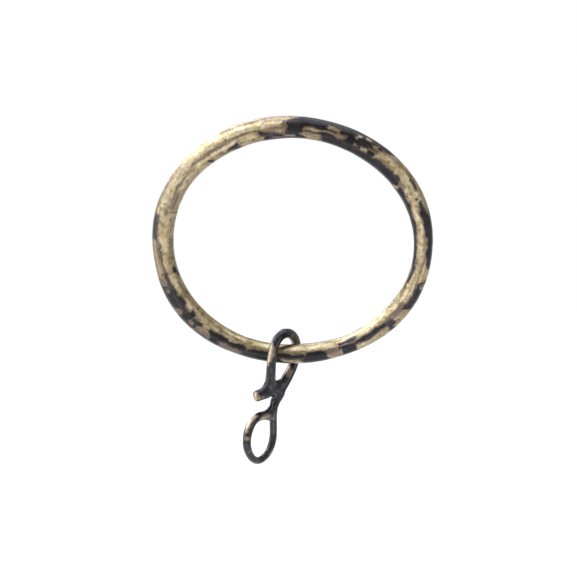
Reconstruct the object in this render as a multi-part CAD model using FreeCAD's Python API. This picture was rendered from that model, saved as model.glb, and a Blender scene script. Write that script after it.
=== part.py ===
import FreeCAD, Part
import os
from math import sin, cos, tan, acos, pi, radians, degrees

# Round-rod metal ring with a loose bent-wire eyelet threaded on it, as used
# for ring-and-hook games and on curtain poles.  All sizes in millimetres.
#
# Frame: origin at the centre of the ring's opening.  X runs level across the
# ring, +Z is up, -Y is the side that the ring's top leans to.  The ring is
# tipped about X and the eyelet hangs plumb from its lowest point.

# ---------------------------------------------------------------- dimensions
RING_INNER_DIA = 38.0      # clear opening of the ring
ROD_DIA = 3.4              # round rod that the ring is bent from
TIP_DEG = 30.0             # ring's lean from upright, top towards -Y

WIRE_DIA = 1.3             # eyelet wire
SEAT_DEG = 0.45            # eyelet's seat, measured round the ring from its lowest point towards -X
LEAN_DEG = 8.0             # eyelet's lean towards -X
YAW_DEG = 35.0             # turn of the eyelet's plane from square across the rod
BACK_DEG = 6.1             # lean that brings the eyelet's weight plumb under the rod

# Centre line of the eyelet wire in the eyelet's own axes, from its rod seat:
# s across the loop (+ is the back leg), t up, n out of the loop's plane.
CUT_END = [                # turned-out cut end, then up past the stem
    (-2.46, -7.85, -2.45), (-1.52, -7.39, -1.89), (-0.66, -6.98, -1.38),
    (-0.36, -6.30, -1.14), (-0.66, -5.45, -1.06), (-1.35, -4.65, -0.86),
    (-2.25, -3.72, -0.42),
    (-3.02, -2.55, -0.06)]
UPPER_LOOP = [             # front leg, crown over the rod, back leg
    (-3.42, -1.20, 0.0), (-3.62, 0.25, 0.0), (-3.62, 1.55, 0.0),
    (-3.05, 2.80, 0.0), (-2.00, 3.55, 0.0), (-0.75, 3.78, 0.0),
    (0.50, 3.58, 0.0), (1.65, 3.00, 0.0), (2.60, 2.10, 0.0),
    (3.20, 1.00, 0.0), (3.50, -0.25, 0.0), (3.48, -1.45, 0.0),
    (3.05, -2.70, 0.0), (2.35, -3.75, 0.0), (1.55, -4.80, 0.0)]
STEM = [                   # shared stem, down into the right side of the eye
    (0.85, -5.80, 0.0), (0.40, -6.90, 0.0), (0.15, -8.05, 0.0),
    (-0.08, -9.15, 0.0), (0.05, -10.25, 0.0), (0.45, -11.45, 0.0),
    (0.90, -12.65, 0.0), (1.33, -13.85, 0.0)]
LOWER_EYE = [              # foot, left side and top, back to the stem
    (1.62, -15.10, 0.0), (1.52, -16.45, 0.0), (0.92, -17.65, 0.0),
    (-0.20, -18.42, 0.0), (-1.60, -18.68, 0.0), (-3.00, -18.25, 0.0),
    (-4.30, -17.35, 0.0), (-5.35, -16.20, 0.0), (-6.02, -14.85, 0.0),
    (-6.20, -13.40, 0.0), (-5.95, -12.05, 0.0), (-5.15, -11.05, 0.0),
    (-3.95, -10.60, 0.0), (-2.70, -10.55, 0.0), (-1.65, -10.68, 0.0),
    (-0.82, -10.88, 0.0)]
BEND_SHARE = 0.46          # share of the shorter run that each bend uses

# ------------------------------------------------------------------- derived
ROD_R = ROD_DIA / 2.0
RING_R = RING_INNER_DIA / 2.0 + ROD_R
WIRE_R = WIRE_DIA / 2.0
TIP = radians(TIP_DEG)
RING_AXIS = FreeCAD.Vector(0, cos(TIP), sin(TIP))


def turned(v, angle):
    """v turned about +X."""
    return FreeCAD.Vector(v.x, v.y * cos(angle) - v.z * sin(angle),
                          v.y * sin(angle) + v.z * cos(angle))


seat = radians(90.0 + SEAT_DEG)
SEAT = FreeCAD.Vector(RING_R * cos(seat), RING_R * sin(seat) * sin(TIP),
                      -RING_R * sin(seat) * cos(TIP))
lean, yaw, back = radians(LEAN_DEG), radians(YAW_DEG), radians(BACK_DEG)
level = FreeCAD.Vector(cos(lean), 0, -sin(lean))
rear = FreeCAD.Vector(0, 1, 0)
DOWN = turned(FreeCAD.Vector(-sin(lean), 0, -cos(lean)), back)
ACROSS = turned(level * sin(yaw) + rear * cos(yaw), back)
NORMAL = turned(level * cos(yaw) - rear * sin(yaw), back)


def place(s, t, n):
    return SEAT + ACROSS * s - DOWN * t + NORMAL * n


def bent_wire(points, share):
    """Straight runs joined by tangent arcs, as one wire; returns it with its
    length and tightest bend."""
    edges, length, tightest = [], 0.0, 1e9
    here = points[0]
    for i in range(1, len(points) - 1):
        a = points[i - 1] - points[i]
        b = points[i + 1] - points[i]
        la, lb = a.Length, b.Length
        a.normalize()
        b.normalize()
        turn = pi - acos(max(-1.0, min(1.0, a.dot(b))))
        run = share * min(la, lb)
        radius = run / tan(turn / 2)
        start, end = points[i] + a * run, points[i] + b * run
        bis = a + b
        bis.normalize()
        centre = points[i] + bis * (radius / cos(turn / 2))
        mid = centre - bis * radius
        edges.append(Part.LineSegment(here, start).toShape())
        edges.append(Part.Arc(start, mid, end).toShape())
        length += (start - here).Length + radius * turn
        tightest = min(tightest, radius)
        here = end
    edges.append(Part.LineSegment(here, points[-1]).toShape())
    length += (points[-1] - here).Length
    return Part.Wire(edges), length, tightest


# --------------------------------------------------------------------- ring
# One rod bent round and butt-welded, so a plain torus.
ring = Part.makeTorus(RING_R, ROD_R, FreeCAD.Vector(0, 0, 0), RING_AXIS)
ring = ring.Solids[0]

# ------------------------------------------------------------------- eyelet
# One wire: cut end, upper loop round the rod, stem, lower eye.
route = [place(*p) for p in CUT_END + UPPER_LOOP + STEM + LOWER_EYE]
spine, wire_length, tightest = bent_wire(route, BEND_SHARE)
first = route[1] - route[0]
first.normalize()
section = Part.Wire(Part.makeCircle(WIRE_R, route[0], first))
sweep = Part.BRepOffsetAPI.MakePipeShell(spine)
sweep.setFrenetMode(False)
sweep.add(section, False, False)
sweep.build()
sweep.makeSolid()
eyelet = sweep.shape().Solids[0]
if eyelet.Volume < 0:
    eyelet.reverse()

# ------------------------------------------------------------------- export
os.makedirs("parts", exist_ok=True)
for name, solid in (("ring", ring), ("eyelet", eyelet)):
    solid.exportStep("parts/" + name + ".step")
    box = solid.BoundBox
    print(name, solid.ShapeType, "valid", solid.isValid(),
          "volume %.2f" % solid.Volume,
          "x %.3f..%.3f y %.3f..%.3f z %.3f..%.3f" % (
              box.XMin, box.XMax, box.YMin, box.YMax, box.ZMin, box.ZMax))
print("eyelet wire length %.2f, section x length %.2f, tightest bend %.2f" % (
    wire_length, pi * WIRE_R ** 2 * wire_length, tightest))
print("seat %.4f %.4f %.4f" % tuple(SEAT),
      "eyelet centre of mass %.3f %.3f %.3f" % tuple(eyelet.CenterOfMass))
print("gap ring to eyelet %.3f" % ring.distToShape(eyelet)[0],
      "overlap %.5f" % ring.common(eyelet).Volume)
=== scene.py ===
import math

import bmesh
import bpy
import numpy as np
from mathutils import Matrix, Vector
from mathutils.kdtree import KDTree


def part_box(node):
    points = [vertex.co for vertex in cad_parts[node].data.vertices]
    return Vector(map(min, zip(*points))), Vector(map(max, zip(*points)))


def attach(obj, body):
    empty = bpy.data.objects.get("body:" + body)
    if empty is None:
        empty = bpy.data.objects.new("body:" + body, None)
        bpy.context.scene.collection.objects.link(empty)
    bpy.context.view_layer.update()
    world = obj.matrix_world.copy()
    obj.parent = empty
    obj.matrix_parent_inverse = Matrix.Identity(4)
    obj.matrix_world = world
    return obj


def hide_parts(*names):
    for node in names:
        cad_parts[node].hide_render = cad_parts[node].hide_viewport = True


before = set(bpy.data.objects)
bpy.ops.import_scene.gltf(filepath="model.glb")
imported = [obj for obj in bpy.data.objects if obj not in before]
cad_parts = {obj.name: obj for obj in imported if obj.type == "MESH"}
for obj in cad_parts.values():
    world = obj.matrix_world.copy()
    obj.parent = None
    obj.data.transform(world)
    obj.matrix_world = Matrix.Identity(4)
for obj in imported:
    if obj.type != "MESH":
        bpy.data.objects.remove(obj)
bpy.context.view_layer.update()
MM = 0.001

# --------------------------------------------------------------- seeded noise


def lattice(ix, iy, iz, seed):
    """One repeatable number from -1 to 1 for each lattice corner."""
    h = (ix.astype(np.int64) * 374761393 + iy.astype(np.int64) * 668265263
         + iz.astype(np.int64) * 2147483647 + seed * 1274126177) & 0xFFFFFFFF
    h = ((h ^ (h >> 13)) * 1274126177) & 0xFFFFFFFF
    h = ((h ^ (h >> 16)) * 2246822519) & 0xFFFFFFFF
    h = h ^ (h >> 15)
    return (h & 0xFFFFFF) / float(0xFFFFFF) * 2.0 - 1.0


def wobble(p, size, seed):
    """Smooth noise from -1 to 1 with features of the given size."""
    q = p / size
    i = np.floor(q).astype(np.int64)
    f = q - i
    f = f * f * f * (f * (f * 6 - 15) + 10)
    out = np.zeros(len(p))
    for dx in (0, 1):
        for dy in (0, 1):
            for dz in (0, 1):
                w = ((f[:, 0] if dx else 1 - f[:, 0])
                     * (f[:, 1] if dy else 1 - f[:, 1])
                     * (f[:, 2] if dz else 1 - f[:, 2]))
                out += w * lattice(i[:, 0] + dx, i[:, 1] + dy, i[:, 2] + dz, seed)
    return out


def cloud(p, size, seed, octaves=4, gain=0.55):
    out, amp, total = np.zeros(len(p)), 1.0, 0.0
    for k in range(octaves):
        out += amp * wobble(p + 17.3 * k, size / 2 ** k, seed + 31 * k)
        total += amp
        amp *= gain
    return out / total


def smooth(x, lo, hi):
    t = np.clip((x - lo) / (hi - lo), 0, 1)
    return t * t * (3 - 2 * t)


# ------------------------------------------------------------------ the ring
# A rod bent round and butt-welded.  a goes round the ring, clockwise seen from
# the front, from the right; b goes round the rod, from its outer side through
# the front to the inner side.  The rod is a little uneven, as bent and
# tumbled rod is: OUTER and INNER are its two edges every 15 degrees, in mm.
RING_R, ROD_R, TIP = 20.7, 1.7, math.radians(30)
OUTER = [1.60, 1.76, 1.86, 1.76, 1.57, 1.55, 1.62, 1.70, 1.96, 2.08, 1.98, 1.60,
         1.48, 1.56, 1.58, 1.82, 1.74, 1.68, 1.60, 1.56, 1.62, 1.74, 1.78, 1.70]
INNER = [1.36, 1.36, 1.54, 1.65, 1.48, 1.74, 1.66, 1.54, 1.53, 1.70, 1.76, 1.90,
         1.94, 1.94, 1.72, 1.80, 1.80, 1.82, 1.72, 1.78, 1.80, 1.74, 1.62, 1.50]
ROUND, AROUND = 1280, 96

FRONT = -np.array([0, math.cos(TIP), math.sin(TIP)])


def outward(a):
    return np.stack([np.cos(a), np.sin(a) * math.sin(TIP), -np.sin(a) * math.cos(TIP)], -1)


def round_table(values, a):
    """The table as one smooth closed curve."""
    f = np.fft.rfft(np.array(values)) / len(values)
    out = np.full(a.shape, f[0].real)
    for k in range(1, len(values) // 2):
        out = out + 2 * (f[k].real * np.cos(k * a) - f[k].imag * np.sin(k * a))
    return out


def ring_mesh():
    a = np.arange(ROUND) / ROUND * 2 * math.pi
    b = np.arange(AROUND) / AROUND * 2 * math.pi
    A, B = [x.ravel() for x in np.meshgrid(a, b, indexing="ij")]
    out, inn = round_table(OUTER, A), round_table(INNER, A)
    centre, half = RING_R + (out - inn) / 2, (out + inn) / 2
    e = outward(A)
    n = np.cos(B)[:, None] * e + np.sin(B)[:, None] * FRONT
    p = centre[:, None] * e + half[:, None] * n
    base = RING_R * e + ROD_R * n
    dent = 0.050 * (cloud(base, 3.4, 5, 3) - 0.40) + 0.020 * cloud(base, 1.2, 9, 3)
    # the weld, dressed flush but for a faint line across the front
    at = np.degrees(A)
    weld = np.exp(-((at - 197.0 - 0.5 * wobble(base, 0.8, 77)) / 0.45) ** 2)
    dent -= 0.055 * weld * (0.6 + 0.4 * wobble(base, 1.5, 3))
    p = p + n * dent[:, None]
    return A, B, p, n, base


# Where the dark finish is worn away and where it is left, read as patches in
# degrees: (kind, a from, a to, b from, b to, slope of b over a).  D is dark
# finish, B is bare brass, in the order in which they lie over each other.
PATCHES = [
    # right, going down
    ("D", -24, 5.5, 12, 76, -0.6), ("B", 5.2, 12.0, -30, 84, 0), ("D", 12.0, 13.3, 10, 80, 0),
    ("B", 13.3, 16.2, -10, 66, 0), ("D", 15.4, 27.6, 0, 90, 0.5), ("B", 27.2, 36, 36, 108, 0),
    ("B", 27, 35, 12, 50, 0), ("D", 33.5, 41, 72, 107, 0.6), ("D", 37, 40, 12, 76, 0),
    ("B", 38.6, 56.2, 50, 103, 0), ("D", 38, 57.5, 95, 121, 0), ("B", 42, 55, 15, 60, 0),
    ("D", 56.2, 62.8, 20, 121, 0), ("B", 62.8, 70.2, 48, 112, 0.8), ("D", 60, 64.5, 103, 121, 0), ("D", 54.5, 63.5, 130, 149, 0),
    ("D", 70.2, 83, 20, 127, 0), ("D", 82, 100, 88, 121, 0), ("B", 82.0, 92.5, 0, 88, 0),
    ("D", 92, 110, 40, 122, 0),
    # bottom, going left
    ("D", 109, 129, 86, 123, 0), ("B", 110, 121, 30, 92, 0.4), ("D", 121, 127.5, 20, 100, 0),
    ("D", 138.5, 152.4, 57, 115, 0.1), ("D", 133.6, 139, 64, 112, 0), ("B", 127.2, 134.5, 58, 101, 0.3), ("D", 128, 134, 20, 60, 0),
    ("D", 134, 144, 30, 95, 0), ("B", 136.4, 139.4, 66, 91, 0), ("B", 143.3, 147.1, 30, 86, 0.6),
    ("D", 147.1, 158.6, 20, 113, -0.6), ("B", 155, 157.2, 56, 78, 0), ("D", 138.6, 142.4, 104, 135, 0),
    ("D", 147.6, 151.4, 102, 132, 0), ("D", 157, 165, 80, 98, -1.4), ("D", 163.2, 167, 130, 158, -2.5),
    ("D", 164, 181, 82, 87, -0.4), ("D", 160.5, 164, 156, 176, -1.0),
    # left, going up
    ("D", 181, 194, 28, 62, -0.2), ("D", 228.6, 230.6, 108, 150, 0),
    ("D", 238.5, 244.6, 104, 128, -4.0), ("D", 241.5, 244.6, 120, 165, 0),
    # top
    ("D", 253, 264, 86, 108, 1.8), ("D", 255, 259.6, 100, 170, 0), ("D", 259, 270, 129, 175, 0),
    ("D", 264.6, 303, -90, 190, 0), ("B", 262.6, 269.6, 109, 128, 0),
    ("B", 261, 267.6, -60, 38, 0), ("B", 264, 270.4, -60, 20, 0),
    ("B", 271.6, 277.6, 60, 83, 0), ("B", 271.2, 279.2, 90, 128, 0.8), ("B", 273, 281, 118, 140, 0),
    ("B", 281, 286, 29, 53, 0.6), ("B", 276, 290.3, 60, 76, -0.3), ("B", 284.2, 290.3, 52, 69, 0),
    ("B", 293.0, 294.9, 72, 89, 0), ("B", 296.3, 299.4, 70, 91, 0), ("B", 297.8, 300.6, 16, 35, 0),
    ("B", 293.2, 296.4, 18, 32, 0), ("B", 293.0, 294.2, 26, 52, 0), ("B", 300.6, 303.6, 26, 54, -3.0),
    ("B", 299.2, 303.4, 60, 68, 0),
    ("D", 295, 311, 93, 190, 0), ("D", 286, 300, 100, 190, 0),
    # top right, going down
    ("D", 302, 311.4, -60, 30, 0), ("D", 302, 318.6, 84, 190, 0.5), ("D", 303, 306, 30, 42, 0),
    ("D", 317, 319.6, 84, 100, 0), ("D", 318, 331, 106, 190, 1.5), ("D", 330, 346, 124, 190, 0.5),
    ("D", 344, 364, 136, 175, 0.7), ("B", 319.2, 322.8, 98, 147, 0.4), ("D", 322.8, 327.2, 39, 50, 0.8),
    ("D", 333.2, 339, 46, 63, 0), ("D", 338, 362, 4, 68, 0.5), ("B", 350, 356, 66, 80, 0),
    ("D", 362, 375, 138, 156, 1.2),
    ("D", 312, 320.5, 92, 135, 0), ("D", 327, 332.5, 118, 140, 0), ("B", 335, 340, 8, 43, 0),
    ("D", 42, 53, 108, 127, 0), ("D", 13.5, 27.6, 60, 96, 0), ("B", 152, 160, 107, 122, 0),
    ("D", 259.8, 264.8, 97, 121, 0),
]
# Thin brown film on the brass, mostly tarnish: (a from, a to, b from, b to, strength).
TARNISH = [
    (0, 29, 82, 106, 1.0), (24, 86, 88, 129, 0.95), (42, 60, 100, 126, 0.6), (52, 67, 128, 154, 0.7), (60, 82, 112, 134, 0.6),
    # (94, 164, 14, 100, 1.12), the strongest zone, darkens the rod's lower side, from its outer edge round to the
    # front, along the bottom of the ring
    (82, 96, 118, 150, 0.6), (97, 104, 110, 150, 0.45), (94, 164, 14, 100, 1.12), (104, 122, 20, 50, 0.8),
    (158, 184, 22, 84, 0.6), (181, 220, 14, 68, 0.62), (183, 204, 96, 130, 0.5), (194, 222, 80, 106, 0.90),
    (220, 240, 70, 88, 0.95), (236, 256, 64, 80, 0.95), (255, 266, 18, 42, 0.6), (255, 265, 64, 92, 0.7),
    (271, 279, 78, 92, 0.9), (278, 286, 62, 80, 0.6), (300, 322, 40, 70, 0.12), (257, 266, 92, 124, 0.9), (310, 338, -34, 42, 0.42),
    (320, 336, 54, 88, 0.22), (346, 362, 60, 94, 0.80), (62, 72, 56, 110, 0.6), (26, 36, 60, 106, 0.45),
    (82, 92, 10, 86, 0.45), (0, 16, 126, 144, 0.6), (132, 152, 104, 120, 0.7), (205, 255, 100, 160, 0.30),
    (157, 170, 62, 96, 0.85), (174, 183, 56, 80, 0.95), (170, 184, 122, 160, 0.7), (197, 209, 90, 122, 0.95),
    (319, 324.5, 82, 110, 1.0),
]
DEG_A, DEG_B = RING_R * math.pi / 180, ROD_R * math.pi / 180


def patch_depth(at, bt, a0, a1, b0, b1, slope=0.0, corner=1.0):
    """Distance inside a round-cornered patch, in mm: positive inside."""
    am, bm = (a0 + a1) / 2, (b0 + b1) / 2
    ha, hb = (a1 - a0) / 2 * DEG_A, (b1 - b0) / 2 * DEG_B
    r = corner * min(ha, hb)
    best = None
    for turn in (-360, 0, 360):
        dx = np.abs((at + turn - am) * DEG_A) - (ha - r)
        dy = np.abs((bt - bm - slope * (at + turn - am)) * DEG_B) - (hb - r)
        d = np.hypot(np.maximum(dx, 0), np.maximum(dy, 0)) + np.minimum(np.maximum(dx, dy), 0) - r
        best = -d if best is None else np.maximum(best, -d)
    return best


def soft_patch(at, bt, a0, a1, b0, b1):
    """1 in the middle of a zone, fading over 2 mm along the rod and 0.4 mm round it."""
    am, bm = (a0 + a1) / 2, (b0 + b1) / 2
    out = 0.0
    for turn in (-360, 0, 360):
        dx = (a1 - a0) / 2 * DEG_A - np.abs(at + turn - am) * DEG_A
        dy = (b1 - b0) / 2 * DEG_B - np.abs(bt - bm) * DEG_B
        out = np.maximum(out, smooth(dx, -1.3, 0.9) * smooth(dy, -0.28, 0.28))
    return out


def ring_finish(A, B, base):
    at, bt = np.degrees(A), (np.degrees(B) + 90) % 360 - 90
    # edges wander, so that no patch has a drawn outline
    push = np.stack([cloud(base, 1.5, s, 5, 0.62) for s in (11, 12)], -1)
    wa, wb = at + push[:, 0] * 1.05 / DEG_A, bt + push[:, 1] * 0.44 / DEG_B
    f = np.full(len(at), -0.5)
    for kind, a0, a1, b0, b1, slope in PATCHES:
        d = patch_depth(wa, wb, a0, a1, b0, b1, slope)
        f = np.maximum(f, d) if kind == "D" else np.minimum(f, -d)
    # the far side of the rod, worn the same way but at random
    far = cloud(base, 5.5, 41, 5, 0.62) * 3.4 - 0.14
    middle = 90 + 30 * np.sin(A)
    away = np.abs((bt - middle + 180) % 360 - 180)
    f = f + (far - f) * smooth(away, 84, 104)
    f = np.clip(f, -0.5, 0.5)
    # loose flecks in the brass and pin-holes in the dark
    fleck = cloud(base, 0.55, 51, 3, 0.6)
    crowd = smooth(cloud(base, 4.0, 52, 2), -0.25, 0.5)
    f = f + 0.07 * cloud(base, 0.5, 53, 3, 0.6)
    f = np.where(f < 0, np.maximum(f, (fleck - 0.80 + 0.16 * crowd) * 0.8), f)
    f = np.where(f > 0.12, np.minimum(f, (0.86 - cloud(base, 0.7, 54, 3)) * 0.9), f)
    t = np.zeros(len(at))
    for a0, a1, b0, b1, s in TARNISH:
        t = np.maximum(t, s * soft_patch(wa, wb, a0, a1, b0, b1))
    weld = np.exp(-((at - 197.0 - 0.5 * wobble(base, 0.8, 77)) / 0.5) ** 2)
    t = np.maximum(t, 0.9 * weld * smooth(bt, 55, 75))
    t = np.maximum(t, smooth(away, 90, 110) * (0.24 + 0.45 * cloud(base, 2.6, 61, 4)))
    return f, t


def mesh_object(name, verts_mm, faces):
    me = bpy.data.meshes.new(name)
    me.from_pydata((np.asarray(verts_mm) * MM).tolist(), [], faces)
    me.validate()
    me.update()
    for poly in me.polygons:
        poly.use_smooth = True
    ob = bpy.data.objects.new(name, me)
    bpy.context.scene.collection.objects.link(ob)
    return ob


def point_values(ob, name, values):
    a = ob.data.attributes.new(name, "FLOAT", "POINT")
    a.data.foreach_set("value", np.asarray(values, np.float32))


def point_vectors(ob, name, values):
    a = ob.data.attributes.new(name, "FLOAT_VECTOR", "POINT")
    a.data.foreach_set("vector", np.asarray(values, np.float32).ravel())


def inside(p, node):
    """Keeps a piece inside its own CAD node's box."""
    lo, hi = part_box(node)
    return np.clip(p, np.array(lo) / MM, np.array(hi) / MM)


A, B, ring_p, ring_n, ring_base = ring_mesh()
quads = []
for i in range(ROUND):
    j = (i + 1) % ROUND
    for k in range(AROUND):
        m = (k + 1) % AROUND
        quads.append((i * AROUND + k, i * AROUND + m, j * AROUND + m, j * AROUND + k))
dark, tarnish = ring_finish(A, B, ring_base)
# pits and worn patches have a little real depth
ring_p = ring_p - ring_n * (0.012 * smooth(-dark, -0.05, 0.12))[:, None]
ring_p = inside(ring_p, "ring")
ring = mesh_object("ring_rod", ring_p, quads)
point_values(ring, "dark", dark)
point_values(ring, "tarnish", tarnish)
# rod coordinates without a seam, short along the rod so that marks run with it
COIL = RING_R / 3.2
point_vectors(ring, "coil", np.stack([COIL * np.cos(A), COIL * np.sin(A), ROD_R * np.cos(B)], -1))
point_values(ring, "coil_w", ROD_R * np.sin(B))

# ---------------------------------------------------------------- the eyelet
# One wire, cut end first, in the eyelet's own axes from its seat on the rod.
EYE_POINTS = [
    (-2.63, -7.68, -1.90), (-1.99, -7.40, -1.53), (-1.20, -6.98, -1.00),
    (-0.90, -6.30, -0.77), (-1.24, -5.45, -0.66), (-1.81, -4.65, -0.54),
    (-2.39, -3.72, -0.32), (-3.02, -2.55, -0.06),
    (-3.42, -1.20, 0.0), (-3.62, 0.25, 0.0), (-3.62, 1.55, 0.0),
    (-3.05, 2.72, 0.0), (-2.00, 3.44, 0.0), (-0.75, 3.68, 0.0),
    (0.50, 3.49, 0.0), (1.65, 2.92, 0.0), (2.60, 2.10, 0.0),
    (3.20, 1.00, 0.0), (3.50, -0.25, 0.0), (3.48, -1.45, 0.0),
    (3.05, -2.70, 0.0), (2.42, -3.75, 0.0), (1.80, -4.80, 0.0),
    (1.20, -5.80, 0.0), (0.45, -6.90, 0.0), (0.15, -8.05, 0.0),
    (-0.08, -9.15, 0.0), (0.05, -10.25, 0.0), (0.45, -11.45, 0.0),
    (0.90, -12.65, 0.0), (1.33, -13.85, 0.0),
    (1.62, -15.10, 0.0), (1.52, -16.45, 0.0), (0.92, -17.65, 0.0),
    (-0.20, -18.42, 0.0), (-1.60, -18.68, 0.0), (-3.00, -18.25, 0.0),
    (-4.30, -17.35, 0.0), (-5.35, -16.20, 0.0), (-6.02, -14.85, 0.0),
    (-6.20, -13.40, 0.0), (-5.95, -12.05, 0.0), (-5.15, -11.05, 0.0),
    (-3.95, -10.60, 0.0), (-2.70, -10.55, 0.0), (-1.65, -10.68, 0.0),
    (-0.82, -10.88, 0.0), (0.05, -11.2, 0.0)]
SEAT = np.array([-0.1626, 10.3497, -17.9262])
LEAN, YAW, BACK = math.radians(8.0), math.radians(35.0), math.radians(6.1)


def tipped(v, t):
    return np.array([v[0], v[1] * math.cos(t) - v[2] * math.sin(t), v[1] * math.sin(t) + v[2] * math.cos(t)])


LEVEL = np.array([math.cos(LEAN), 0, -math.sin(LEAN)])
REAR = np.array([0.0, 1.0, 0.0])
E_DOWN = tipped(np.array([-math.sin(LEAN), 0, -math.cos(LEAN)]), BACK)
E_ACROSS = tipped(LEVEL * math.sin(YAW) + REAR * math.cos(YAW), BACK)
E_NORMAL = tipped(LEVEL * math.cos(YAW) - REAR * math.sin(YAW), BACK)


def eyelet_line(step=0.06):
    """The wire's centre line, evenly spaced, in mm."""
    pts = np.array([SEAT + E_ACROSS * s - E_DOWN * t + E_NORMAL * n for s, t, n in EYE_POINTS])
    ext = np.vstack([2 * pts[0] - pts[1], pts, 2 * pts[-1] - pts[-2]])
    out = []
    for i in range(1, len(ext) - 1):
        m0, m1 = (ext[i - 1] + ext[i]) / 2, (ext[i] + ext[i + 1]) / 2
        t = np.linspace(0, 1, 24, endpoint=False)[:, None]
        out.append((1 - t) ** 2 * m0 + 2 * t * (1 - t) * ext[i] + t ** 2 * m1)
    line = np.vstack(out + [(ext[-2] + ext[-1])[None] / 2])
    # from the first point to the last, evenly spaced, lightly smoothed
    def even(q, n):
        s = np.concatenate([[0], np.cumsum(np.linalg.norm(np.diff(q, axis=0), axis=1))])
        g = np.linspace(0, s[-1], n)
        return np.stack([np.interp(g, s, q[:, k]) for k in range(3)], -1), s[-1]
    q, length = even(line, 1001)
    k = np.exp(-0.5 * (np.arange(-12, 13) / 4.0) ** 2)
    k /= k.sum()
    pad = np.vstack([2 * q[0] - q[12:0:-1], q, 2 * q[-1] - q[-2:-14:-1]])
    q = np.stack([np.convolve(pad[:, j], k, mode="valid") for j in range(3)], -1)
    return even(q, int(length / step))


def tube(line, radius, sides=40, flat=None):
    """A closed tube along line; flat, meant as (direction, share, reach) for a hammered end, is not used."""
    t = np.gradient(line, axis=0)
    t /= np.linalg.norm(t, axis=1, keepdims=True)
    u = np.zeros_like(line)
    start = np.cross(t[0], [0.3, 0.8, 0.52])
    u[0] = start / np.linalg.norm(start)
    for i in range(1, len(line)):
        v = u[i - 1] - t[i] * np.dot(u[i - 1], t[i])
        u[i] = v / np.linalg.norm(v)
    w = np.cross(t, u)
    ang = np.arange(sides) / sides * 2 * math.pi
    rings = (line[:, None, :] + radius[:, None, None] * (np.cos(ang)[None, :, None] * u[:, None, :]
             + np.sin(ang)[None, :, None] * w[:, None, :]))
    return rings, t, u, w


eye_line, eye_length = eyelet_line()
eye_s = np.linspace(0, eye_length, len(eye_line))
GROW = 0.10          # swollen before the walls are merged, taken off after
# Where the wire meets itself the metal has run together: centre and reach, mm.
FUSED = [
    ((-2.58, 10.20, -23.10), 0.78),
    ((-2.08, 10.40, -23.53), 0.86),
    ((-1.21, 10.95, -23.16), 0.72),
    ((-0.70, 11.50, -23.02), 0.68),
    ((-1.45, 10.90, -24.34), 0.86),
    ((-0.69, 11.40, -24.68), 0.95),
    ((-0.96, 11.40, -25.34), 0.92),
    ((-1.36, 11.35, -26.27), 0.84),
    ((-2.76, 10.20, -23.78), 0.82),
    ((-3.36, 10.10, -24.46), 0.82),
    ((-2.85, 10.25, -24.84), 0.78),
    ((-1.91, 10.80, -27.49), 0.74),
    ((-2.22, 10.49, -27.93), 0.76),
    ((-2.70, 9.87, -28.18), 0.72),
    (tuple(SEAT + E_ACROSS * 1.62 - E_DOWN * -5.35 + E_NORMAL * 0.10), 0.72),
]
wire = np.interp(eye_s, [0, 1.2, 2.6, 4, 6, 8, 10, 12, 14, 17, 20, 22, 24, 26, 28, 31, 36, 42, 46, 50,
                         eye_length - 1.3, eye_length],
                 [0.90, 0.88, 0.84, 0.88, 0.84, 0.79, 0.80, 0.83, 0.84, 0.82, 0.76, 0.74, 0.84, 0.92, 0.86,
                  0.69, 0.64, 0.63, 0.66, 0.74, 0.74, 0.46])
wire = wire + 0.012 * wobble(np.stack([eye_s, eye_s * 0, eye_s * 0], -1), 1.7, 8) + GROW
rings, tangent, eu, ew = tube(eye_line, wire)
# domed ends
sides = rings.shape[1]
verts = rings.reshape(-1, 3)
faces = []
for i in range(len(eye_line) - 1):
    for k in range(sides):
        m = (k + 1) % sides
        faces.append((i * sides + k, i * sides + m, (i + 1) * sides + m, (i + 1) * sides + k))
extra = []
for end, sign, dome in ((0, -1, 0.42), (len(eye_line) - 1, 1, 0.2)):
    ringi = [end * sides + k for k in range(sides)]
    prev = ringi
    for q in (0.35, 0.65, 0.88):
        shrink = math.sqrt(1 - q * q)
        c = eye_line[end] + sign * tangent[end] * dome * q
        row = c + (rings[end] - eye_line[end]) * (1 - (1 - shrink) * 0.8)
        base_i = len(verts) + len(extra)
        extra.extend(row.tolist())
        new = [base_i + k for k in range(sides)]
        for k in range(sides):
            m = (k + 1) % sides
            f = (prev[k], prev[m], new[m], new[k]) if sign > 0 else (prev[m], prev[k], new[k], new[m])
            faces.append(f)
        prev = new
    tip_i = len(verts) + len(extra)
    extra.append((eye_line[end] + sign * tangent[end] * dome).tolist())
    for k in range(sides):
        m = (k + 1) % sides
        faces.append((prev[k], prev[m], tip_i) if sign > 0 else (prev[m], prev[k], tip_i))
verts = np.vstack([verts, np.array(extra)])
for centre, reach in FUSED:
    ball = bmesh.new()
    bmesh.ops.create_icosphere(ball, subdivisions=3, radius=reach + GROW)
    base_i = len(verts)
    verts = np.vstack([verts, np.array([v.co for v in ball.verts]) + np.array(centre)])
    faces += [tuple(base_i + v.index for v in f.verts) for f in ball.faces]
    ball.free()

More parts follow.
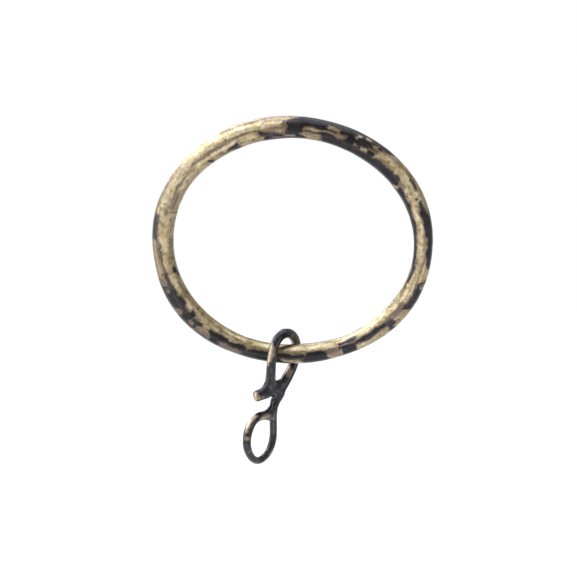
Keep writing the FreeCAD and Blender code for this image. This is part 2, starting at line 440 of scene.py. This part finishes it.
raw = bpy.data.meshes.new("eyelet_raw")
raw.from_pydata(verts.tolist(), [], faces)      # in mm, for the remesh
raw.update()
raw_ob = bpy.data.objects.new("eyelet_raw", raw)
bpy.context.scene.collection.objects.link(raw_ob)
rem = raw_ob.modifiers.new("merge", "REMESH")
rem.mode, rem.voxel_size, rem.use_smooth_shade = "VOXEL", 0.085, True
dg = bpy.context.evaluated_depsgraph_get()
merged = bpy.data.meshes.new_from_object(raw_ob.evaluated_get(dg), depsgraph=dg)
bpy.data.objects.remove(raw_ob)
bm = bmesh.new()
bm.from_mesh(merged)
eye_p = np.array([v.co for v in bm.verts])
eye_faces = [tuple(v.index for v in f.verts) for f in bm.faces]
e0, e1 = np.array([(e.verts[0].index, e.verts[1].index) for e in bm.edges]).T
count = np.bincount(e0, minlength=len(eye_p)) + np.bincount(e1, minlength=len(eye_p))


def relax(p, weight, times):
    """Draws each point towards its neighbours, by its own weight."""
    for _ in range(times):
        mid = np.stack([np.bincount(e0, p[e1, k], len(p)) + np.bincount(e1, p[e0, k], len(p)) for k in range(3)], -1)
        p = p + 0.5 * weight[:, None] * (mid / count[:, None] - p)
    return p


# smooth all over, and much more where the metal has run together
eye_p = relax(eye_p, np.ones(len(eye_p)), 14)
fused = np.zeros(len(eye_p))
for centre, reach in FUSED:
    fused = np.maximum(fused, 1 - smooth(np.linalg.norm(eye_p - np.array(centre), axis=1), reach + 0.20, reach + 1.25))
fused = np.maximum(fused, 0.30 * (1 - smooth(np.linalg.norm(eye_p - eye_line[0], axis=1), 0.9, 1.7)))
eye_p = relax(eye_p, fused, 90)
for v, p in zip(bm.verts, eye_p):
    v.co = p
bm.normal_update()
eye_n = np.array([v.normal for v in bm.verts])
bm.free()
tree = KDTree(len(eye_line))
for i, c in enumerate(eye_line):
    tree.insert(c, i)
tree.balance()
near = np.array([tree.find(p)[1] for p in eye_p])
# back to the wire's own size, leaving the fillets where walls merged
eye_p = eye_p - eye_n * (GROW - 0.012 - 0.085 * fused)[:, None]
eye_p = eye_p + eye_n * (0.014 * (cloud(eye_p, 1.6, 21, 3) - 0.4) + 0.006 * cloud(eye_p, 0.5, 22, 2))[:, None]
# the cut end was struck flat from above
cut = eye_line[0]
along = (eye_p - cut) @ tangent[0]
reach = smooth(-along, -1.6, -0.1) * (np.linalg.norm(eye_p - cut, axis=1) < 2.2)
side = np.cross(tangent[0], [0, -1, 0])
side /= np.linalg.norm(side)
thin = np.cross(side, tangent[0])
off = eye_p - cut - np.outer(along, tangent[0])
eye_p = eye_p + reach[:, None] * (0.05 * np.outer(off @ side, side) - 0.14 * np.outer(off @ thin, thin))
eye_p = inside(eye_p, "eyelet")
eyelet = mesh_object("eyelet_wire", eye_p, eye_faces)

# Strokes of rubbed metal on the dark wire: (centre, reach) along each, in mm.
RUBS = [
    [((-2.61, 7.12, -15.50), 0.34), ((-2.70, 7.10, -16.33), 0.66), ((-2.56, 6.90, -17.05), 0.78),
     ((-2.58, 6.91, -17.80), 0.72), ((-2.70, 7.11, -18.65), 0.58), ((-2.87, 7.49, -19.44), 0.34)],
    [((0.64, 9.72, -14.84), 0.38), ((1.05, 10.80, -15.36), 0.54), ((1.46, 11.58, -16.02), 0.52)],
    [((0.75, 12.50, -20.51), 0.42), ((0.70, 12.16, -21.12), 0.50), ((0.60, 11.91, -21.71), 0.38)],
    [((-4.71, 9.36, -24.87), 0.46), ((-4.63, 9.30, -25.31), 0.64), ((-4.14, 9.60, -25.66), 0.52),
     ((-3.56, 9.84, -25.50), 0.40), ((-2.70, 10.20, -25.17), 0.38), ((-2.32, 10.40, -25.03), 0.26)],
    [((-4.56, 7.08, -28.17), 0.42), ((-5.06, 6.90, -28.54), 0.60), ((-5.41, 6.48, -29.16), 0.54),
     ((-5.62, 6.22, -30.00), 0.46), ((-5.66, 6.08, -30.68), 0.30)],
    [((-5.56, 6.17, -31.86), 0.30)],
    [((-3.52, 7.59, -28.70), 0.26), ((-2.88, 8.63, -28.53), 0.42), ((-2.21, 9.69, -28.37), 0.34)],
    [((-1.10, 12.93, -34.70), 0.30), ((-1.27, 12.68, -35.29), 0.40), ((-1.61, 12.27, -35.85), 0.34),
     ((-2.42, 11.55, -36.25), 0.24)],
    [((-5.06, 7.29, -34.22), 0.22)],
]


def off_stroke(p, stroke):
    """Distance outside a stroke, in mm."""
    best = np.full(len(p), 9.0)
    for (c0, r0), (c1, r1) in list(zip(stroke, stroke[1:])) or [(stroke[0], stroke[0])]:
        c0, d = np.array(c0), np.array(c1) - np.array(c0)
        k = np.clip((p - c0) @ d / max(d @ d, 1e-9), 0, 1)
        best = np.minimum(best, np.linalg.norm(p - c0 - k[:, None] * d, axis=1) - (r0 + (r1 - r0) * k))
    return best


eye_dark = np.full(len(eye_p), 0.45)
wander = 0.22 * cloud(eye_p, 0.8, 71, 4, 0.6)
for stroke in RUBS:
    eye_dark = np.minimum(eye_dark, off_stroke(eye_p, stroke) + wander)
# a little wear at random on the side that faces away
worn = (0.33 - cloud(eye_p, 2.2, 75, 4, 0.6)) * 0.9 + 1.0 - smooth(eye_n[:, 1], 0.05, 0.45)
eye_dark = np.minimum(eye_dark, worn)
point_values(eyelet, "dark", np.clip(eye_dark, -0.5, 0.5))
point_values(eyelet, "tarnish", np.clip(0.35 + 0.5 * cloud(eye_p, 1.2, 73, 3), 0, 1))
ang_u = np.einsum("ij,ij->i", eye_p - eye_line[near], eu[near])
ang_w = np.einsum("ij,ij->i", eye_p - eye_line[near], ew[near])
point_vectors(eyelet, "coil", np.stack([eye_s[near] / 3.0, ang_u, ang_w], -1))
point_values(eyelet, "coil_w", np.zeros(len(eye_p)))

# ---------------------------------------------------------------- materials


def antique_brass(name, brass_dark, brass_mid, brass_light, black, black_light, tarnish_colour,
                  rough_brass=0.34, rough_black=0.36, blur=1.0, lacquer=0.15, sheen_rough=0.22, marks=1.0):
    mat = bpy.data.materials.new(name)
    mat.use_nodes = True
    nt = mat.node_tree
    nt.nodes.clear()
    N, L = nt.nodes.new, nt.links.new

    def math_node(op, a, b=None, clamp=False):
        m = N("ShaderNodeMath")
        m.operation, m.use_clamp = op, clamp
        for i, v in enumerate((a, b)):
            if v is None:
                continue
            if isinstance(v, (int, float)):
                m.inputs[i].default_value = v
            else:
                L(v, m.inputs[i])
        return m.outputs[0]

    def noise(scale, detail, rough, vector, w=None, distort=0.0):
        n = N("ShaderNodeTexNoise")
        n.noise_dimensions = "4D" if w is not None else "3D"
        n.inputs["Scale"].default_value = scale
        n.inputs["Detail"].default_value = detail
        n.inputs["Roughness"].default_value = rough
        n.inputs["Distortion"].default_value = distort
        L(vector, n.inputs["Vector"])
        if w is not None:
            L(w, n.inputs["W"])
        return n.outputs["Fac"]

    def ramp(fac, stops):
        r = N("ShaderNodeValToRGB")
        while len(r.color_ramp.elements) < len(stops):
            r.color_ramp.elements.new(0.5)
        for e, (pos, col) in zip(r.color_ramp.elements, stops):
            e.position, e.color = pos, (*col, 1)
        L(fac, r.inputs[0])
        return r.outputs[0]

    def span(value, lo, hi, out_lo=0.0, out_hi=1.0, kind="SMOOTHSTEP"):
        m = N("ShaderNodeMapRange")
        m.interpolation_type = kind
        for k, v in zip(("From Min", "From Max", "To Min", "To Max"), (lo, hi, out_lo, out_hi)):
            if isinstance(v, (int, float)):
                m.inputs[k].default_value = v
            else:
                L(v, m.inputs[k])
        L(value, m.inputs["Value"])
        return m.outputs[0]

    def mix(fac, a, b):
        m = N("ShaderNodeMix")
        m.data_type = "RGBA"
        L(fac, m.inputs[0])
        for sock, v in ((m.inputs[6], a), (m.inputs[7], b)):
            if isinstance(v, tuple):
                sock.default_value = (*v, 1)
            else:
                L(v, sock)
        return m.outputs[2]

    def attr(kind):
        a = N("ShaderNodeAttribute")
        a.attribute_type, a.attribute_name = "GEOMETRY", kind
        return a

    coord = N("ShaderNodeTexCoord").outputs["Object"]
    dark_a, tarn_a = attr("dark").outputs["Fac"], attr("tarnish").outputs["Fac"]
    coil, coil_w = attr("coil").outputs["Vector"], attr("coil_w").outputs["Fac"]

    grain = noise(3600, 5, 0.62, coord)                    # about 0.3 mm
    fine = noise(11000, 3, 0.6, coord)                     # about 0.1 mm
    streak = noise(1.5, 6, 0.62, coil, coil_w, 0.35)       # runs with the rod
    broad = noise(520, 3, 0.5, coord)                      # about 2 mm
    patch = noise(1500, 4, 0.6, coord)                     # about 0.7 mm

    edge = math_node("MULTIPLY", math_node("SUBTRACT", grain, 0.5), 0.34)
    depth = math_node("ADD", dark_a, edge)
    soft = math_node("MULTIPLY", tarn_a, 0.09)
    mask = span(depth, math_node("SUBTRACT", -0.11 * blur, soft), math_node("ADD", 0.15 * blur, soft))

    tone = math_node("ADD", math_node("MULTIPLY", streak, 0.50), math_node("MULTIPLY", broad, 0.16))
    tone = math_node("ADD", tone, math_node("MULTIPLY", patch, 0.26))
    tone = math_node("ADD", tone, math_node("MULTIPLY", grain, 0.08))
    tone = math_node("ADD", math_node("MULTIPLY", math_node("SUBTRACT", tone, 0.5), marks), 0.5)
    brass = ramp(tone, [(0.41, brass_dark), (0.49, brass_mid), (0.59, brass_light)])
    film_n = span(math_node("ADD", math_node("MULTIPLY", streak, 0.8), math_node("MULTIPLY", grain, 0.2)), 0.38, 0.60)
    film = math_node("ADD", math_node("MULTIPLY", film_n, 0.42), math_node("MULTIPLY", tarn_a, 0.62))
    film = span(film, 0.44, 0.92, 0.0, 0.92)
    film = math_node("MAXIMUM", film, span(depth, -0.30 * blur, -0.02, 0.0, 0.80))
    brass = mix(film, brass, tarnish_colour)
    coat_tone = span(math_node("ADD", math_node("MULTIPLY", broad, 0.6), math_node("MULTIPLY", patch, 0.4)), 0.40, 0.66)
    coat = mix(coat_tone, black, black_light)
    colour = mix(mask, brass, coat)

    r1 = math_node("ADD", math_node("MULTIPLY", math_node("SUBTRACT", streak, 0.5), 0.22), rough_brass)
    r1 = math_node("ADD", r1, math_node("MULTIPLY", film, 0.08))
    r2 = math_node("ADD", math_node("MULTIPLY", math_node("SUBTRACT", grain, 0.5), 0.18), rough_black)
    rough = N("ShaderNodeMix")
    rough.data_type = "FLOAT"
    L(mask, rough.inputs[0]); L(r1, rough.inputs[2]); L(r2, rough.inputs[3])

    height = math_node("ADD", math_node("MULTIPLY", mask, 0.55), math_node("MULTIPLY", grain, 0.15))
    height = math_node("ADD", height, math_node("MULTIPLY", streak, 0.14))
    height = math_node("ADD", height, math_node("MULTIPLY", fine, 0.03))
    bump = N("ShaderNodeBump")
    bump.inputs["Strength"].default_value = 1.0
    bump.inputs["Distance"].default_value = 0.000022
    L(height, bump.inputs["Height"])

    bsdf = N("ShaderNodeBsdfPrincipled")
    L(colour, bsdf.inputs["Base Color"])
    L(rough.outputs[0], bsdf.inputs["Roughness"])
    bsdf.inputs["Metallic"].default_value = 1.0
    bsdf.inputs["Specular Tint"].default_value = (0.80, 0.79, 0.78, 1)
    bsdf.inputs["Coat Weight"].default_value = lacquer
    bsdf.inputs["Coat Roughness"].default_value = sheen_rough
    bsdf.inputs["Coat IOR"].default_value = 1.5
    L(bump.outputs[0], bsdf.inputs["Coat Normal"])
    L(bump.outputs[0], bsdf.inputs["Normal"])
    out = N("ShaderNodeOutputMaterial")
    L(bsdf.outputs[0], out.inputs["Surface"])
    return mat


ring.data.materials.append(antique_brass(
    "ring_antique_brass", (0.068, 0.051, 0.025), (0.206, 0.157, 0.079), (0.336, 0.281, 0.187),
    (0.0085, 0.0073, 0.0071), (0.0180, 0.0159, 0.0164), (0.078, 0.054, 0.043), 0.35, 0.33, 1.15, 0.18, 0.20, 0.86))
eyelet.data.materials.append(antique_brass(
    "eyelet_antique_brass", (0.120, 0.088, 0.050), (0.215, 0.168, 0.104), (0.320, 0.262, 0.180),
    (0.0060, 0.0053, 0.0062), (0.0155, 0.0137, 0.0165), (0.100, 0.073, 0.052), 0.42, 0.20, 1.5, 0.38, 0.15, 0.6))

for piece, body in ((ring, "ring"), (eyelet, "eyelet")):
    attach(piece, body)
    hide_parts(body)

# ---------------------------------------------------- floor, light and camera
me = bpy.data.meshes.new("floor")
bm = bmesh.new()
bmesh.ops.create_circle(bm, cap_ends=True, radius=7.0, segments=96)
bm.to_mesh(me)
bm.free()
floor = bpy.data.objects.new("floor", me)
floor.location = (0, 0, -0.25)
bpy.context.scene.collection.objects.link(floor)
pale = bpy.data.materials.new("pale_floor")
pale.use_nodes = True
b = pale.node_tree.nodes["Principled BSDF"]
b.inputs["Base Color"].default_value = (0.48, 0.48, 0.48, 1)
b.inputs["Roughness"].default_value = 0.9
b.inputs["Emission Color"].default_value = (1, 1, 1, 1)
b.inputs["Emission Strength"].default_value = 0.56
me.materials.append(pale)

world = bpy.data.worlds.new("studio")
bpy.context.scene.world = world
world.use_nodes = True
world.node_tree.nodes["Background"].inputs[0].default_value = (1, 1, 1, 1)
world.node_tree.nodes["Background"].inputs[1].default_value = 1.0


def area(name, direction, distance, size_x, size_y, radiance, colour=(1, 1, 1)):
    lamp = bpy.data.lights.new(name, "AREA")
    lamp.shape, lamp.size, lamp.size_y = "RECTANGLE", size_x, size_y
    lamp.energy = radiance * math.pi * size_x * size_y
    lamp.color = colour
    ob = bpy.data.objects.new(name, lamp)
    d = Vector(direction).normalized()
    ob.location = d * distance
    ob.rotation_euler = (-d).to_track_quat("-Z", "Y").to_euler()
    bpy.context.scene.collection.objects.link(ob)
    return ob


COOL = (0.90, 0.96, 1.12)
area("key_left", (-0.84, -0.15, 0.52), 0.60, 0.54, 0.48, 7.2, COOL)
area("key_top", (-0.38, -0.50, 0.78), 0.60, 0.38, 0.34, 5.0, COOL)
area("rim_left", (-0.56, 0.60, 0.57), 0.65, 0.54, 0.48, 4.8, COOL)
area("overhead", (0.16, -0.06, 0.98), 0.60, 0.72, 0.72, 2.8, COOL)
area("low_left", (-0.94, -0.17, -0.19), 0.42, 0.40, 0.26, 4.2, COOL)
area("front_left", (-0.55, -0.80, 0.20), 0.60, 0.32, 0.26, 3.2, COOL)
area("fill_right", (0.84, -0.53, -0.02), 0.60, 0.46, 0.40, 1.65, COOL)
area("bounce", (0.10, -0.46, -0.88), 0.235, 0.26, 0.060, 1.85)

cam = bpy.data.cameras.new("camera")
cam.sensor_width, cam.lens = 36.0, 36.0 * 1200 / 577
cam.clip_start, cam.clip_end = 0.01, 50
cam_ob = bpy.data.objects.new("camera", cam)
right, up, back = Vector((0.9984, 0.0017, 0.0558)), Vector((-0.0558, 0.0306, 0.9980)), Vector((0, -0.9995, 0.0307))
back.normalize()
right = (right - back * right.dot(back)).normalized()
up = back.cross(right)
m = Matrix((right, up, back)).transposed().to_4x4()
m.translation = Vector((-0.00014, -0.19045, -0.00078))
cam_ob.matrix_world = m
bpy.context.scene.collection.objects.link(cam_ob)
bpy.context.scene.camera = cam_ob

view = bpy.context.scene.view_settings
view.view_transform, view.look = "Standard", "None"
view.exposure, view.gamma = 0.0, 1.0
